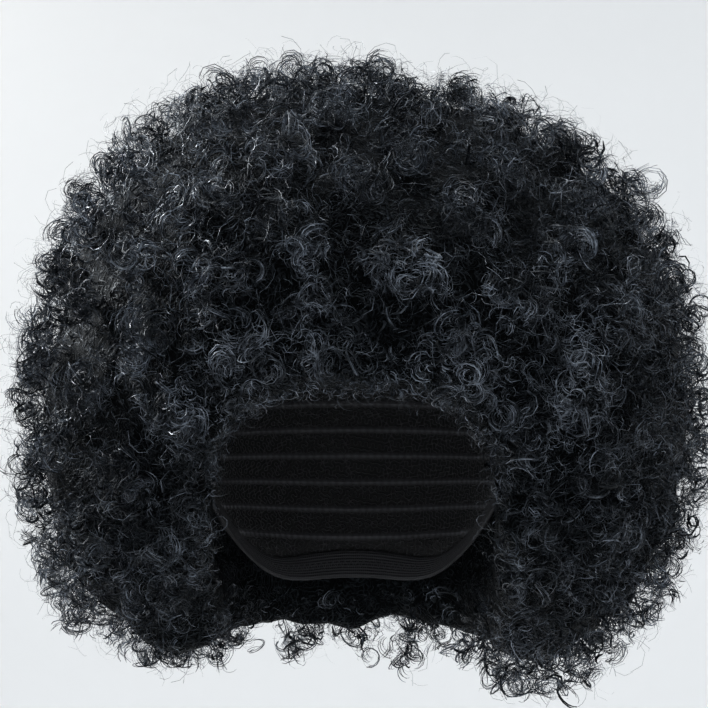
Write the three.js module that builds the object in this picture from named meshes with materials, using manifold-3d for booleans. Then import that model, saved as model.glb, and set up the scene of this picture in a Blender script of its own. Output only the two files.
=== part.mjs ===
// A curly wig: a stretch net cap with an elastic hem, and tiers of curled fibre sewn round it.
// Units are millimetres. The origin is where the wearer's crown meets the inside of the cap,
// +Z is up and the wearer faces -Y.
import * as THREE from 'three';
import { ConvexHull } from 'three/addons/math/ConvexHull.js';
import { mergeVertices } from 'three/addons/utils/BufferGeometryUtils.js';
import Module from 'manifold-3d';

const wasm = await Module();
wasm.setup();

// The head that the cap fits
const headHalfWidth = 75;
const headHalfLength = 93;
const crownHeight = 88; // from the widest level of the head up to its crown
const napeTaper = 125; // from that level down to where the tapering nape would close

// The cap, its hem and the clearance between pieces that are sewn together
const capThickness = 1.2;
const hemThickness = 2.2;
const hemWidth = 11;
const seamGap = 0.35;

// Drops of the hem line below the crown, seen from the side
const foreheadDrop = 62;
const templeDrop = 76;
const earTabDrop = 118;
const earArchDrop = 101;
const behindEarDrop = 128;
const napeDrop = 162;

// The outline of the hair over its curls, measured from the origin
const hairHalfWidth = 167;
const hairFront = 148;
const hairBack = 176;
const hairRise = 92;
const hairDrop = 211;

// The opening for the face, and the hollow for the neck under the cap
const faceHalfWidth = 60;
const faceTopDrop = 65;
const faceShoulderDrop = 112; // where the arch over the face meets its upright sides
const archUpright = 0.8; // how much of the arch's height its sides stay nearly upright
const archLevel = 0.72; // how much of its half width its top stays nearly level
const neckHalfWidth = 62;
const neckFront = 62;
const neckBack = 75;

// The curls of the outer layer, which stand on the packed hair like rosettes
const curlSpacing = 39;
const curlStray = 0.1; // how far a curl lies from its even place, as a share of the spacing
const curlRise = 15; // how far a curl stands above the valleys round it
const curlVariation = 0.22; // how far the rise of one curl departs from the next
const crestReach = 0.3; // from the middle to the crest, as a share of the nearest spacing
const crestPoints = 6;
const crestLean = 0.18; // how much lower the crest is where the curl's end tucks in
const dimpleDepth = 0.3; // of the curl's middle below its crest, as a share of its rise
const saddleHeight = 0.3; // between two curls, as a share of the rise

// The ringlets that hang from the lower edge
const ringletCount = 13;
const ringletHang = 31; // below the packed hair
const ringletTurnRadius = 9;
const ringletLockRadius = 7;
const ringletTipRadius = 4.5;
const ringletTurns = 1.3;
const ringletVariation = 0.35; // how much shorter and closer the smallest ringlet is
const ringletFaceDegrees = 58; // from the middle of the face to the first ringlet
const ringletRimShare = 0.45; // how far up the last section its root lies
const ringletSides = 5;
const ringletSteps = 7;

// Facets round the head, its rows and where they start and end, the facets of the hem line, of
// the arch and of the tiers' edges, and a distance beyond all of the hair
const headFacets = 28;
const headRows = 11;
const headTopDegrees = 1;
const headLowestDegrees = 160;
const hemSteps = 24;
const archSteps = 8;
const edgeFacets = 24;
const farAway = 420;

// The elevations, seen from the middle of the head, where one tier of hair meets the next
const crownEdgeDegrees = 53;
const upperEdgeDegrees = 34;
const middleEdgeDegrees = 13;
const lowerEdgeDegrees = -11;
const fringeEdgeDegrees = 0;
const fringeHalfDegrees = 50; // how far the fringe runs to each side of the middle of the face

// The hem line from the forehead to the nape. Behind is the place behind the middle of the
// head, as a share of its half length.
const hemLine = [
  { behind: -1.1, drop: foreheadDrop },
  { behind: -0.85, drop: foreheadDrop },
  { behind: -0.65, drop: templeDrop },
  { behind: -0.38, drop: earTabDrop },
  { behind: -0.18, drop: earTabDrop },
  { behind: 0.08, drop: earArchDrop },
  { behind: 0.36, drop: behindEarDrop },
  { behind: 0.65, drop: napeDrop },
  { behind: 0.9, drop: napeDrop },
];

// Sections of the packed hair under its curls. Level is the share of its height from the
// bottom, and wide, front and back are shares of the half width and of the reach each way.
const hairSections = [
  { level: 1.0, wide: 0.0, front: 0.0, back: 0.0 },
  { level: 0.985, wide: 0.25, front: 0.25, back: 0.28 },
  { level: 0.94, wide: 0.46, front: 0.47, back: 0.5 },
  { level: 0.87, wide: 0.64, front: 0.65, back: 0.68 },
  { level: 0.79, wide: 0.79, front: 0.81, back: 0.82 },
  { level: 0.69, wide: 0.9, front: 0.93, back: 0.92 },
  { level: 0.58, wide: 0.965, front: 1.0, back: 0.98 },
  { level: 0.48, wide: 0.99, front: 0.97, back: 1.0 },
  { level: 0.38, wide: 1.0, front: 0.86, back: 1.0 },
  { level: 0.29, wide: 0.98, front: 0.75, back: 0.98 },
  { level: 0.21, wide: 0.94, front: 0.64, back: 0.92 },
  { level: 0.14, wide: 0.88, front: 0.51, back: 0.84 },
  { level: 0.075, wide: 0.79, front: 0.37, back: 0.74 },
  { level: 0.02, wide: 0.67, front: 0.22, back: 0.63 },
  { level: 0.0, wide: 0.56, front: 0.12, back: 0.54 },
  { level: 0.0, wide: 0.0, front: 0.0, back: 0.0 },
];

const fibreMaterial = { color: 0x17191c, roughness: 0.55, metalness: 0 };
const netMaterial = { color: 0x101113, roughness: 0.9, metalness: 0 };
const elasticMaterial = { color: 0x1b1c1f, roughness: 0.8, metalness: 0 };

const radians = THREE.MathUtils.degToRad;

// A repeatable number from 0 to 1 for each index and purpose.
function scatter(index, purpose) {
  const wave = Math.sin(index * 12.9898 + purpose * 78.233) * 43758.5453;
  return wave - Math.floor(wave);
}

// A solid from a closed mesh, turned right side out if the mesh was inside out.
function solidOf(geometry) {
  const bare = new THREE.BufferGeometry();
  bare.setAttribute('position', geometry.getAttribute('position'));
  bare.setIndex(geometry.getIndex());
  const merged = mergeVertices(bare, 1e-4);
  const triVerts = Uint32Array.from(merged.getIndex().array);
  const vertProperties = merged.getAttribute('position').array;
  const made = new wasm.Manifold(new wasm.Mesh({ numProp: 3, vertProperties, triVerts }));
  if (made.volume() >= 0) return made;
  for (let i = 0; i < triVerts.length; i += 3) {
    [triVerts[i + 1], triVerts[i + 2]] = [triVerts[i + 2], triVerts[i + 1]];
  }
  return new wasm.Manifold(new wasm.Mesh({ numProp: 3, vertProperties, triVerts }));
}

// A mesh geometry from a solid.
function geometryOf(solid) {
  const mesh = solid.getMesh();
  const geometry = new THREE.BufferGeometry();
  const positions = new Float32Array(mesh.numVert * 3);
  for (let i = 0; i < mesh.numVert; i++) {
    const start = i * mesh.numProp;
    positions.set(mesh.vertProperties.subarray(start, start + 3), i * 3);
  }
  geometry.setAttribute('position', new THREE.BufferAttribute(positions, 3));
  geometry.setIndex(new THREE.BufferAttribute(mesh.triVerts, 1));
  geometry.computeVertexNormals();
  return geometry;
}

// The skin through a run of rings of points, closed by a fan to the middle of each end ring.
function loftGeometry(rings) {
  const count = rings[0].length;
  const last = rings.length - 1;
  const ends = [rings[0], rings[last]].map((ring) =>
    ring.reduce((sum, point) => sum.add(point), new THREE.Vector3()).divideScalar(count),
  );
  const points = [...rings.flat(), ...ends];
  const faces = [];
  const startHub = points.length - 2;
  const endHub = points.length - 1;
  for (let i = 0; i < count; i++) {
    const next = (i + 1) % count;
    for (let row = 0; row < last; row++) {
      const here = row * count;
      const there = here + count;
      faces.push(here + i, here + next, there + next, here + i, there + next, there + i);
    }
    faces.push(startHub, next, i);
    faces.push(endHub, last * count + i, last * count + next);
  }
  const geometry = new THREE.BufferGeometry().setFromPoints(points);
  geometry.setIndex(faces);
  return geometry;
}

// A point of a ring at one height, with its own reach to the front, the back and each side.
// The angle runs from the face, at 0, by the +X side to the back.
function ringPoint(angle, height, halfWidth, front, back) {
  const reach = Math.cos(angle) > 0 ? front : back;
  return new THREE.Vector3(halfWidth * Math.sin(angle), -reach * Math.cos(angle), height);
}

// The head as the cap meets it, grown by a distance on every side.
function headForm(grown) {
  const rings = Array.from({ length: headRows }, (_, row) => {
    const share = row / (headRows - 1);
    const down = radians(THREE.MathUtils.lerp(headTopDegrees, headLowestDegrees, share));
    const tall = (Math.cos(down) < 0 ? napeTaper : crownHeight) + grown;
    const halfLength = (headHalfLength + grown) * Math.sin(down);
    return Array.from({ length: headFacets }, (__, facet) =>
      ringPoint(
        (2 * Math.PI * facet) / headFacets,
        -crownHeight + tall * Math.cos(down),
        (headHalfWidth + grown) * Math.sin(down),
        halfLength,
        halfLength,
      ),
    );
  });
  return solidOf(loftGeometry(rings));
}

// All that lies under the hem line, seen from the side, when that line is raised by a distance.
function underHem(raised) {
  const line = new THREE.SplineCurve(
    hemLine.map(({ behind, drop }) => new THREE.Vector2(behind * headHalfLength, raised - drop)),
  );
  const shape = new THREE.Shape([
    new THREE.Vector2(-farAway, raised - foreheadDrop),
    ...line.getPoints(hemSteps),
    new THREE.Vector2(farAway, raised - napeDrop),
    new THREE.Vector2(farAway, -farAway),
    new THREE.Vector2(-farAway, -farAway),
  ]);
  const across = new THREE.ExtrudeGeometry(shape, { depth: 2 * farAway, bevelEnabled: false });
  across.translate(0, 0, -farAway);
  const sideways = new THREE.Matrix4().makeBasis(
    new THREE.Vector3(0, 1, 0),
    new THREE.Vector3(0, 0, 1),
    new THREE.Vector3(1, 0, 0),
  );
  return solidOf(across.applyMatrix4(sideways));
}

// The arched opening for the face, from the middle of the head forwards.
function faceOpening() {
  const springing = -faceShoulderDrop + archUpright * (faceShoulderDrop - faceTopDrop);
  const level = archLevel * faceHalfWidth;
  const shape = new THREE.Shape();
  shape.moveTo(-faceHalfWidth, -farAway);
  shape.lineTo(faceHalfWidth, -farAway);
  shape.lineTo(faceHalfWidth, -faceShoulderDrop);
  shape.bezierCurveTo(faceHalfWidth, springing, level, -faceTopDrop, 0, -faceTopDrop);
  shape.bezierCurveTo(
    -level, -faceTopDrop, -faceHalfWidth, springing, -faceHalfWidth, -faceShoulderDrop,
  );
  const forwards = new THREE.ExtrudeGeometry(shape, {
    depth: farAway,
    bevelEnabled: false,
    curveSegments: archSteps,
  });
  const upright = new THREE.Matrix4().makeBasis(
    new THREE.Vector3(1, 0, 0),
    new THREE.Vector3(0, 0, 1),
    new THREE.Vector3(0, -1, 0),
  );
  return solidOf(forwards.applyMatrix4(upright));
}

// The hollow for the neck, from the middle of the head down.
function neckHollow() {
  const column = new THREE.CylinderGeometry(1, 1, farAway, headFacets);
  column.rotateX(Math.PI / 2);
  column.scale(neckHalfWidth, (neckFront + neckBack) / 2, 1);
  column.translate(0, (neckBack - neckFront) / 2, -crownHeight - farAway / 2);
  return solidOf(column);
}

// Height and reach of one section of the packed hair.
function sectionSizes({ level, wide, front, back }) {
  return [
    THREE.MathUtils.lerp(ringletHang - hairDrop, hairRise - curlRise, level),
    wide * (hairHalfWidth - curlRise),
    front * (hairFront - curlRise),
    back * (hairBack - curlRise),
  ];
}

// The point of the packed hair's skin at an angle and at a place between two sections.
function skinPoint(angle, place) {
  const row = Math.min(Math.floor(place), hairSections.length - 2);
  const upper = ringPoint(angle, ...sectionSizes(hairSections[row]));
  const lower = ringPoint(angle, ...sectionSizes(hairSections[row + 1]));
  return upper.lerp(lower, place - row);
}

// The way out of that skin, across a quarter of a section and of a radian each way.
function skinNormal(angle, place) {
  const step = 0.25;
  const last = hairSections.length - 1;
  if (place < step) return new THREE.Vector3(0, 0, 1);
  if (place > last - step) return new THREE.Vector3(0, 0, -1);
  const down = skinPoint(angle, place + step).sub(skinPoint(angle, place - step));
  const round = skinPoint(angle + step, place).sub(skinPoint(angle - step, place));
  return down.cross(round).normalize();
}

// The length down the side of the hair to each section.
const sideLengths = hairSections.reduce((lengths, _, row) => {
  if (row === 0) return [0];
  const side = Math.PI / 2;
  const step = skinPoint(side, row).distanceTo(skinPoint(side, row - 1));
  return [...lengths, lengths[row - 1] + step];
}, []);
const sideLength = sideLengths[sideLengths.length - 1];

// The place between two sections that lies a share of the way down the side.
function placeAt(share) {
  const length = share * sideLength;
  const row = Math.max(1, sideLengths.findIndex((reached) => reached >= length));
  const start = sideLengths[row - 1];
  return row - 1 + (length - start) / (sideLengths[row] - start);
}

// The hair is worked out on a ball of radius 1, whose poles are its crown and its underside.
// There the curls lie this far from each other, for their spacing on the real hair.
const curlCount = Math.round((4 * sideLength ** 2) / Math.PI / curlSpacing ** 2);
const ballSpacing = Math.sqrt((4 * Math.PI) / curlCount);

// Middles of the curls, spread over the ball by the golden angle, each strayed a little.
const curlMiddles = Array.from({ length: curlCount }, (_, i) => {
  const height = 1 - (2 * i + 1) / curlCount;
  const angle = i * Math.PI * (3 - Math.sqrt(5));
  const reach = Math.sqrt(1 - height ** 2);
  const even = new THREE.Vector3(reach * Math.cos(angle), reach * Math.sin(angle), height);
  const [x, y, z] = [1, 2, 3].map((purpose) => 2 * scatter(i, purpose) - 1);
  return even.addScaledVector(new THREE.Vector3(x, y, z), curlStray * ballSpacing).normalize();
});

// The triangles between neighbouring points of the ball.
function trianglesOf(points) {
  return new ConvexHull().setFromPoints(points).faces.map(({ edge }) =>
    [edge, edge.next, edge.next.next].map((side) => side.head().point),
  );
}

// The dimple and the crest of one curl, as directions from the middle of the ball, each with
// its height as a share of the rise. The crest is lowest on one side, where the end tucks in.
function curlPoints(middle, index) {
  const others = curlMiddles.filter((other) => other !== middle);
  const nearest = Math.min(...others.map((other) => other.distanceTo(middle)));
  const size = 1 + curlVariation * (2 * scatter(index, 4) - 1);
  const start = 2 * Math.PI * scatter(index, 5);
  const across = new THREE.Vector3(0, 0, 1).cross(middle).normalize();
  const upward = middle.clone().cross(across);
  const crest = Array.from({ length: crestPoints }, (_, i) => {
    const angle = start + (2 * Math.PI * i) / crestPoints;
    const direction = middle
      .clone()
      .addScaledVector(across, crestReach * nearest * Math.cos(angle))
      .addScaledVector(upward, crestReach * nearest * Math.sin(angle));
    const tucked = (1 + Math.cos((2 * Math.PI * i) / crestPoints)) / 2;
    return { direction: direction.normalize(), height: size * (1 - crestLean * tucked) };
  });
  return [{ direction: middle, height: size * (1 - dimpleDepth) }, ...crest];
}

// The lowest points where three curls meet, and the saddles between two.
function valleyPoints() {
  return trianglesOf(curlMiddles).flatMap(([a, b, c]) => {
    const deepest = b.clone().sub(a).cross(c.clone().sub(a)).normalize();
    const sides = [[a, b], [b, c], [c, a]].filter(([from, to]) => from.x < to.x);
    const saddles = sides.map(([from, to]) => ({
      direction: from.clone().add(to).normalize(),
      height: saddleHeight,
    }));
    return [{ direction: deepest, height: 0 }, ...saddles];
  });
}

// The hair with its curls, before its hollow is cut.
function hairMass() {
  const spots = [...curlMiddles.flatMap(curlPoints), ...valleyPoints()];
  const points = spots.map(({ direction, height }) => {
    const angle = Math.atan2(direction.x, -direction.y);
    const place = placeAt(Math.acos(direction.z) / Math.PI);
    return skinPoint(angle, place).addScaledVector(skinNormal(angle, place), curlRise * height);
  });
  const indexes = new Map(spots.map(({ direction }, i) => [direction, i]));
  const triangles = trianglesOf(spots.map(({ direction }) => direction));
  const geometry = new THREE.BufferGeometry().setFromPoints(points);
  geometry.setIndex(triangles.flat().map((direction) => indexes.get(direction)));
  return solidOf(geometry);
}

// One ringlet: a tapering tube that winds down from the lower edge of the hair.
function ringlet(index) {
  const sweep = 2 * (180 - ringletFaceDegrees);
  const angle = radians(ringletFaceDegrees + (sweep * index) / (ringletCount - 1));
  const rim = hairSections.length - 2;
  const root = skinPoint(angle, rim - ringletRimShare);
  const size = 1 - ringletVariation * scatter(index, 6);
  const start = 2 * Math.PI * scatter(index, 7);
  const top = root.z + ringletLockRadius;
  const drop = top + hairDrop - ringletTipRadius;
  const upward = new THREE.Vector3(0, 0, 1);
  const rings = Array.from({ length: ringletSteps + 1 }, (_, step) => {
    const share = step / ringletSteps;
    const turned = start + 2 * Math.PI * ringletTurns * share;
    const outward = new THREE.Vector3(Math.cos(turned), Math.sin(turned), 0);
    const middle = root.clone().addScaledVector(outward, ringletTurnRadius * size);
    middle.z = top - drop * size * share;
    const radius = THREE.MathUtils.lerp(ringletLockRadius, ringletTipRadius, share);
    return Array.from({ length: ringletSides }, (__, side) => {
      const round = (2 * Math.PI * side) / ringletSides;
      return middle
        .clone()
        .addScaledVector(outward, radius * Math.cos(round))
        .addScaledVector(upward, radius * Math.sin(round));
    });
  });
  return solidOf(loftGeometry(rings));
}

// All that lies above a cone about the middle of the head, when the cone is lowered by a gap.
function aboveCone(degrees, gap) {
  const apex = -crownHeight - gap / Math.cos(radians(degrees));
  const profile = [
    new THREE.Vector2(0, apex),
    new THREE.Vector2(farAway, apex + farAway * Math.tan(radians(degrees))),
    new THREE.Vector2(farAway, 2 * farAway),
    new THREE.Vector2(0, 2 * farAway),
  ];
  const turned = new THREE.LatheGeometry(profile, edgeFacets);
  return solidOf(turned.rotateX(Math.PI / 2));
}

// The wedge over the face, when its two sides are moved out by a gap.
function fringeWedge(gap) {
  const apex = gap / Math.sin(radians(fringeHalfDegrees));
  const spread = (farAway + apex) * Math.tan(radians(fringeHalfDegrees));
  const shape = new THREE.Shape([
    new THREE.Vector2(0, apex),
    new THREE.Vector2(-spread, -farAway),
    new THREE.Vector2(spread, -farAway),
  ]);
  const upright = new THREE.ExtrudeGeometry(shape, { depth: 2 * farAway, bevelEnabled: false });
  return solidOf(upright.translate(0, 0, -farAway));
}

// The tiers from the crown down. Each takes what is left of the hair over its edge, and the
// fringe takes it only over the face. The nape tier is what then remains, with the ringlets.
const tiers = [
  { name: 'crown_weft', edge: crownEdgeDegrees },
  { name: 'upper_weft', edge: upperEdgeDegrees },
  { name: 'fringe_weft', edge: fringeEdgeDegrees, overFace: true },
  { name: 'middle_weft', edge: middleEdgeDegrees },
  { name: 'lower_weft', edge: lowerEdgeDegrees },
];

function tierRegion({ edge, overFace }, gap) {
  const above = aboveCone(edge, gap);
  return overFace ? above.intersect(fringeWedge(gap)) : above;
}

// The largest of the bodies that a cut leaves.
function largest(solid) {
  return solid.decompose().reduce((best, body) => (body.volume() > best.volume() ? body : best));
}

// The hair as one solid for each tier, with the seam gap between them and round the cap.
function hairTiers() {
  const hollow = headForm(capThickness + seamGap).add(neckHollow()).add(faceOpening());
  const ringlets = Array.from({ length: ringletCount }, (_, i) => ringlet(i));
  let left = wasm.Manifold.union([hairMass(), ...ringlets]).subtract(hollow);
  const upper = tiers.map((tier) => {
    const solid = largest(left.intersect(tierRegion(tier, 0)));
    left = left.subtract(tierRegion(tier, seamGap));
    return { name: tier.name, solid };
  });
  return [...upper, { name: 'nape_weft', solid: largest(left) }];
}

function namedMesh(name, solid, finish) {
  const mesh = new THREE.Mesh(geometryOf(solid), new THREE.MeshStandardMaterial(finish));
  mesh.name = name;
  return mesh;
}

const capOutside = headForm(capThickness);
const netCap = capOutside.subtract(headForm(0)).subtract(underHem(hemWidth + seamGap));
const hemBand = capOutside
  .subtract(headForm(capThickness - hemThickness))
  .intersect(underHem(hemWidth))
  .subtract(underHem(0));

const wig = new THREE.Group();
wig.name = 'curly_wig';
wig.add(namedMesh('net_cap', netCap, netMaterial));
wig.add(namedMesh('hem_band', hemBand, elasticMaterial));
for (const { name, solid } of hairTiers()) {
  wig.add(namedMesh(name, solid, fibreMaterial));
}

export default wig;
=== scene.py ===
"""Looks of the curly wig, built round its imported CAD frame."""

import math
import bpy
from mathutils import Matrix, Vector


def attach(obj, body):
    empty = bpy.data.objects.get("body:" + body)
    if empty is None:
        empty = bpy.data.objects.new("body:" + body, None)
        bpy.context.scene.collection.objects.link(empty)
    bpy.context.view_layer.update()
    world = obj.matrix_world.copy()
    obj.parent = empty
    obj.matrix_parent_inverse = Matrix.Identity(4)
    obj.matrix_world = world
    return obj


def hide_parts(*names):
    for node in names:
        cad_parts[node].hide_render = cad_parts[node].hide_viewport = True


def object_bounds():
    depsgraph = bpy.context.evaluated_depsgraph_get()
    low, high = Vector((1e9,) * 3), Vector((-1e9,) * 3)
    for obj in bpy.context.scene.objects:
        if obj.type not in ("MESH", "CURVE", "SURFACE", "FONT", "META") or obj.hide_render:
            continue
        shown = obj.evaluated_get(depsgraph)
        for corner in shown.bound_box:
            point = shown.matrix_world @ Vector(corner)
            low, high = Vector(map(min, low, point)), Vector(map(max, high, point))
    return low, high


bl_info = {
    "name": "Curly Wig",
    "version": (1, 0, 0),
    "blender": (4, 5, 0),
    "location": "3D View > Sidebar > Wig",
    "description": "Curls, packed fibre, net cap and hem of a curly wig, with a studio for its picture",
    "category": "Add Mesh",
}

import bmesh
import bpy
import numpy as np

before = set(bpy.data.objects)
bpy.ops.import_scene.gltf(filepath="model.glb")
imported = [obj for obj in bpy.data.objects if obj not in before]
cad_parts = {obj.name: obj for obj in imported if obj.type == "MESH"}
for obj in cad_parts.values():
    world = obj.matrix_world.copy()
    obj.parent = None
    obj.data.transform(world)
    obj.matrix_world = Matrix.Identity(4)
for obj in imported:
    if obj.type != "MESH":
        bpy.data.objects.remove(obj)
CAD_BOX = [list(corner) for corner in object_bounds()]

TIERS = ("crown_weft", "upper_weft", "fringe_weft", "middle_weft", "lower_weft", "nape_weft")
# Painted light: gains on the brightness of the fibres of each tier, highest on the fringe, then on the
# crown and upper tiers
TIER_PAINTED_LIGHT = (1.15, 1.15, 1.9, 1.0, 1.0, 1.05)
BODY = "root"

# The hollow under the cap, in metres, as the CAD has it
HOLLOW_HALF_WIDTH = 0.075
HOLLOW_HALF_LENGTH = 0.093
HOLLOW_MIDDLE = -0.088
CROWN_HEIGHT = 0.088
NAPE_TAPER = 0.125
CAP_THICKNESS = 0.0012
HEM_THICKNESS = 0.0022
HEM_WIDTH = 0.011
SEAM_GAP = 0.00035

# The hem line seen from the side: shares of the half length behind the middle, and drops
HEM_BEHIND = (-1.1, -0.85, -0.65, -0.38, -0.18, 0.08, 0.36, 0.65, 0.9)
HEM_DROP = (0.062, 0.062, 0.076, 0.118, 0.118, 0.101, 0.128, 0.162, 0.162)

# The lower hollow under it, half the width that is bare at the front, and the depth of that
LOWER_HALF_WIDTH = 0.062
LOWER_FRONT = 0.062
LOWER_BACK = 0.075
FRONT_HALF_WIDTH = 0.060
FRONT_DEPTH = -0.035

# The opening at the front: half its width, the level of its middle, and its height above that
FRONT_OPENING = (0.063, -0.125, 0.0622)

# Where strands may be rooted: how far out of the hollow, and how far into the lower hollow
HOLLOW_CLEARANCE = 0.003
LOWER_OVERLAP = 0.002

# Between these levels the packed fibre thins less and less towards the lowest edge at the nape
NAPE_EDGE = (-0.184, -0.172)

# How far the fibres' outline stands out of the CAD skin, by the angle in degrees seen from the
# front, from the right over the top and the left to the bottom
OUTLINE_MIDDLE = -0.0586
OUTLINE_ANGLES = (-90, -70, -50, -30, -10, 10, 30, 45, 60, 75, 90, 110, 130, 150, 165, 185, 200, 215,
                  230, 245)
OUTLINE_SHIFTS = (0.0, 0.003, 0.016, 0.006, 0.004, 0.004, -0.001, -0.004, -0.001, -0.008, -0.006, -0.001,
                  -0.002, -0.005, -0.013, -0.006, -0.005, 0.006, 0.004, -0.008)

# The clumps of curls over the skin, and the lumps of the packed fibre under them
SKIN_MESH_SIZE = 0.0040
CLUMP_SPACING = 0.026
CLUMP_HEIGHT = 0.0060
LUMP_SPACING = 0.016
LUMP_HEIGHT = 0.0065
INSET_ROUNDS = 4

# Steps along a strand of each kind, and how far a short one narrows
CURL_STEPS = 8
UNDER_STEPS = 5
TUFT_STEPS = 4
FRIZZ_STEPS = 5
LOOP_STEPS = 12
WISP_STEPS = 10
SHORT_NARROWING = 0.15

TUBE_SIDES = 3
ROUNDING = 0.55
FULL_TURN = 2.0 * math.pi

# The finishes: scales per metre, pitches in metres, and the colour of the gloss
CLOUD_SCALE = 62.0
# Painted glints: short bright spots along the fibres that stand in for highlights
PAINTED_GLINT_SCALE = 420.0
NET_PITCH = 0.0040
SEWN_ROW_ANGLE = math.radians(8.0)
SEWN_STITCHES = 150.0
HEM_RIBS = 9.0
KNIT_PITCH = 0.0011
ZIGZAG_PITCH = 0.0032
COOL_GLOSS = (0.80, 0.91, 1.0, 1.0)

# The studio
SWEEP_RADIUS = 0.9
WALL_HEIGHT = 2.9
BACKDROP_SIDES = 96
BACKDROP_COLOUR = (0.706, 0.705, 0.706)
LIGHT_COLOUR = (0.92, 0.965, 1.0)


def length(name, description, default, subtype="DISTANCE", unit="LENGTH", **limits):
    """A length that can be changed, or another number."""
    return bpy.props.FloatProperty(name=name, description=description, default=default,
                                   subtype=subtype, unit=unit, **limits)


def angle(name, description, degrees):
    """An angle that can be changed."""
    return length(name, description, math.radians(degrees), "ANGLE", "ROTATION")


def power(name, description, default):
    """The power of a light."""
    return length(name, description, default, "POWER", "POWER", min=0.0)


def tint(name, description, *default):
    """A colour that can be changed."""
    return bpy.props.FloatVectorProperty(name=name, description=description, default=default, size=3,
                                         min=0.0, max=1.0, subtype="COLOR")


class WigSizes(bpy.types.PropertyGroup):
    """Sizes of the curls and of the fibre packed under them."""

    curl_spacing: length("Curl Spacing", "Distance from one curl to the next", 0.0143, min=0.004)
    curl_radius: length("Curl Radius", "Radius of the widest turns of a curl", 0.0064, min=0.002)
    curl_locks: bpy.props.IntProperty(
        name="Locks in a Curl", description="Bands of fibres that turn together in one curl",
        default=3, min=1, max=6)
    lock_fibres: bpy.props.IntProperty(
        name="Fibres in a Lock", description="Fibres that lie side by side in one lock",
        default=4, min=1, max=12)
    curl_turns: bpy.props.FloatProperty(
        name="Curl Turns", description="Turns that each lock of a curl makes", default=0.78, min=0.3)
    fibre_pitch: length("Fibre Pitch", "Distance between the fibres of one lock", 0.00085, min=0.0002)
    fibre_width: length("Fibre Width", "Half width of one fibre of a curl", 0.00021, min=0.00005)
    under_spacing: length(
        "Under Lock Spacing", "Distance from one dark lock under the curls to the next", 0.0076, min=0.004)
    under_width: length("Under Lock Width", "Half width of one dark lock", 0.0006, min=0.0001)
    tuft_spacing: length(
        "Tuft Spacing", "Distance from one small tuft of fibres to the next", 0.0048, min=0.003)
    frizz_spacing: length("Frizz Spacing", "Distance from one loose fibre to the next", 0.0040, min=0.003)
    frizz_width: length("Frizz Width", "Half width of one loose fibre", 0.00008, min=0.00003)
    loop_radius: length("Loop Radius", "Radius of the thick strand of a single loop", 0.00026, min=0.00005)
    packed_depth: length(
        "Packed Depth", "How far the packed fibre lies under the outline of the curls", 0.0098, min=0.0)
    voxel: length("Packed Mesh Size", "Edge length of the faces of the packed fibre", 0.0056, min=0.0025)
    outline_margin: length(
        "Outline Margin", "How far a loose fibre may stand out of the CAD box", 0.0085, min=0.0)


class WigColours(bpy.types.PropertyGroup):
    """Colours of the fibre, the net and the elastic."""

    fibre: tint("Fibre", "Colour of the curled fibre", 0.0138, 0.0162, 0.0200)
    # Painted shade: the packed fibre is far darker than the curled fibre, for the shade deep between the
    # curls
    packed: tint("Packed Fibre", "Colour of the fibre deep between the curls", 0.0043, 0.0050, 0.0058)
    net: tint("Net", "Colour of the stretch net of the cap", 0.008, 0.008, 0.009)
    elastic: tint("Elastic", "Colour of the elastic hem", 0.014, 0.014, 0.016)


class WigStage(bpy.types.PropertyGroup):
    """The studio round the wig."""

    floor_level: length("Floor Level", "Height of the floor under the mount of the wig", -1.45)
    backdrop_radius: length(
        "Backdrop Radius", "Distance from the wig to the backdrop round it", 2.6, min=1.5)
    key_power: power("Key Light", "Power of the large light at the upper left", 86.0)
    fill_power: power("Front Light", "Power of the wide light at the front", 2.8)
    top_power: power("Top Light", "Power of the light over the wig", 24.0)
    backdrop_power: power("Backdrop Light", "Power of the light on the backdrop at the left", 6.8)
    sky_strength: bpy.props.FloatProperty(
        name="Room Light", description="Strength of the even light of the room", default=0.18)
    camera_distance: length(
        "Camera Distance", "Distance from the camera to the middle of the wig", 1.2, min=0.5)
    camera_elevation: angle("Camera Elevation", "How far the camera looks down at the wig", 1.5)
    camera_field: angle("Field of View", "Angle that the picture takes in from side to side", 15.6)
    aim_level: length("Aim Level", "Height that the camera looks at", -0.051)


# Finishes


class Value:
    """One output of a shader node, on which Python's operators add Math nodes."""

    def __init__(self, finish, socket):
        self.finish = finish
        self.socket = socket

    def maths(self, operation, *others):
        """The Math node for one operation on this value and others."""
        return self.finish.add(
            "ShaderNodeMath", {"operation": operation}, dict(enumerate((self, *others))))

    def __add__(self, other):
        return self.maths("ADD", other)

    __radd__ = __add__

    def __mul__(self, other):
        return self.maths("MULTIPLY", other)

    __rmul__ = __mul__

    def __sub__(self, other):
        return self.maths("SUBTRACT", other)

    def __rsub__(self, other):
        return self.finish.add(
            "ShaderNodeMath", {"operation": "SUBTRACT"}, {0: other, 1: self})

    def __truediv__(self, other):
        return self.maths("DIVIDE", other)

    def within(self, low, high):
        """This value kept between two numbers."""
        return self.maths("MAXIMUM", low).maths("MINIMUM", high)

    def wave(self):
        """The sine of this value, from 0 to 1."""
        return self.maths("SINE") * 0.5 + 0.5


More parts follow.
